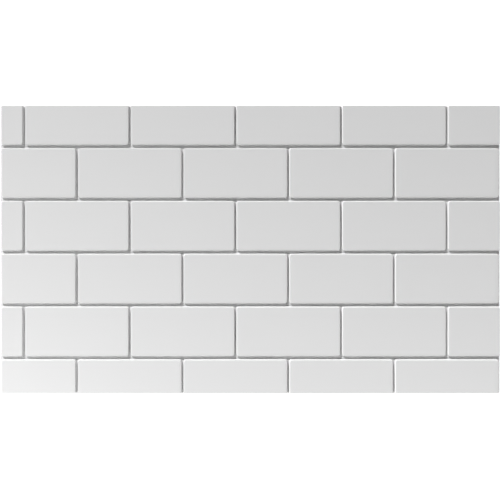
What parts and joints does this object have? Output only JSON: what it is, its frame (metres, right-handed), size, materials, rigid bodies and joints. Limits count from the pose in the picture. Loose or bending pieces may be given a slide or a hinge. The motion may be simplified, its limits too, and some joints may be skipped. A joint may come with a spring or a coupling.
{
  "type": "backsplash panel",
  "caption": "Rigid moulded wall panel with a flat back and a glossy white face in a running bond of cushion-edged subway tiles, for bonding behind a worktop or hob.",
  "frame": {"origin": "middle of the flat back, which is the face that is bonded to the wall", "axes": "+X along the courses of tiles, towards the end where every other course closes with a whole tile; +Y up the wall; +Z out of the tiled face"},
  "size_m": [0.72, 0.414, 0.006],
  "materials": {
    "gloss_white": "gloss, moulded, white all the way through"
  },
  "bodies": {
    "root": {"backsplash_panel": "gloss_white"}
  },
  "joints": []
}
